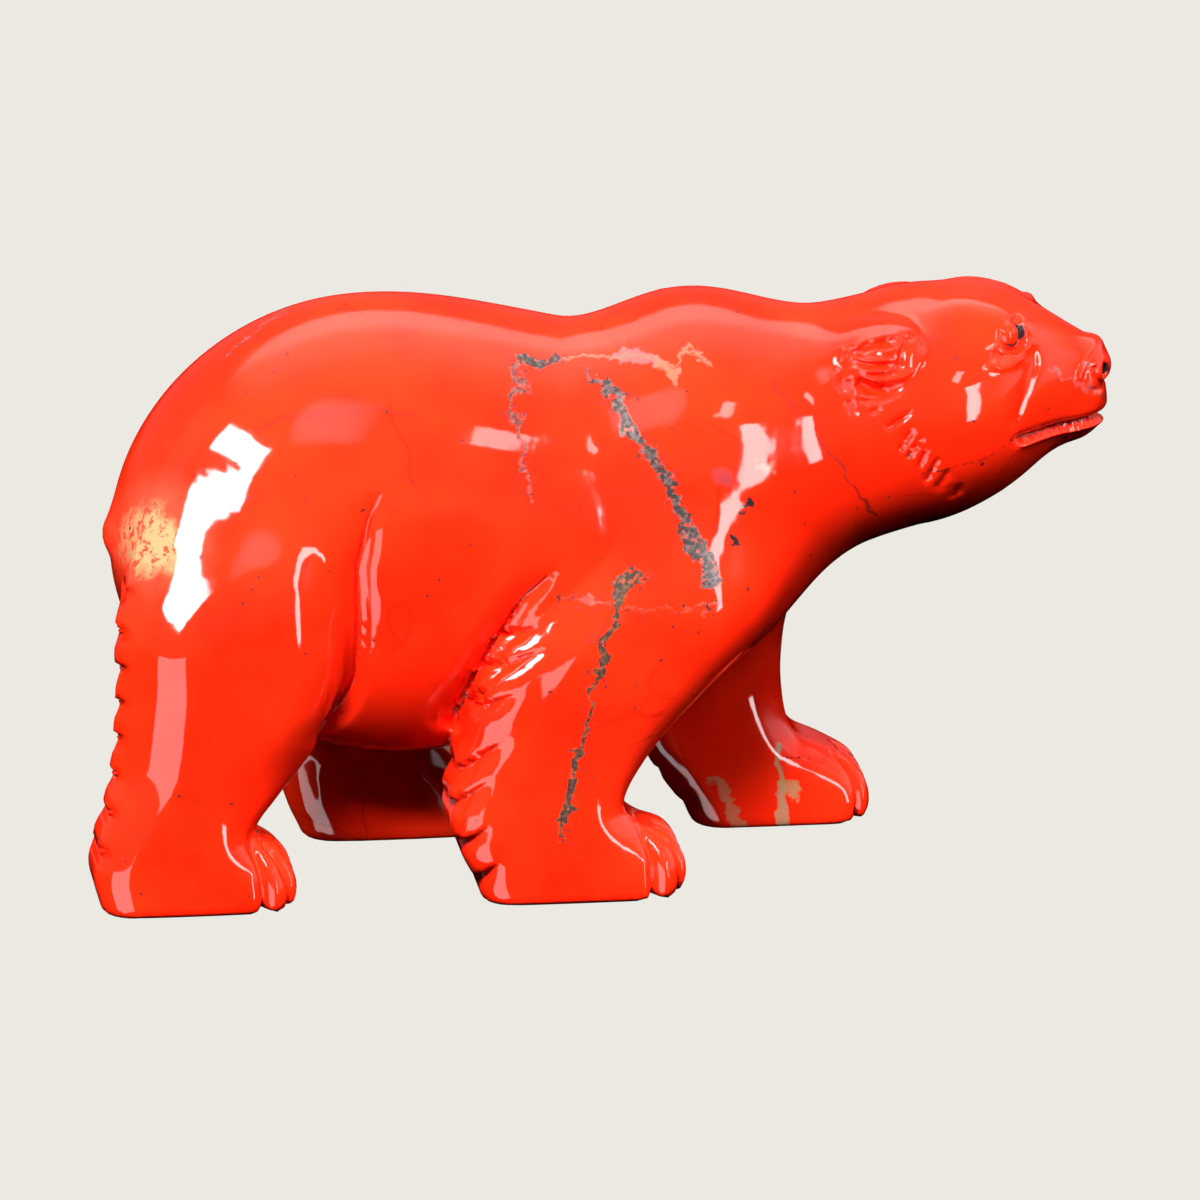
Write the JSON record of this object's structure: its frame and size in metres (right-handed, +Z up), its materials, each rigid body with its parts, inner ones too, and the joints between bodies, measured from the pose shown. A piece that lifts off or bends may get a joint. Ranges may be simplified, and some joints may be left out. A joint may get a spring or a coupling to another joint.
{
  "type": "jasper polar bear carving",
  "caption": "Walking polar bear carved in one piece from polished red jasper; a desk or shelf ornament that stands on its four paws.",
  "frame": {"origin": "centre of the bounding box, at the soles of the paws", "axes": "+X from tail to nose, +Y to the bear's left, +Z up"},
  "size_m": [0.1215, 0.0454, 0.0686],
  "materials": {
    "jasper": "high polish, red with dark grey and cream veins"
  },
  "bodies": {
    "root": {"bear": "jasper"}
  },
  "joints": []
}
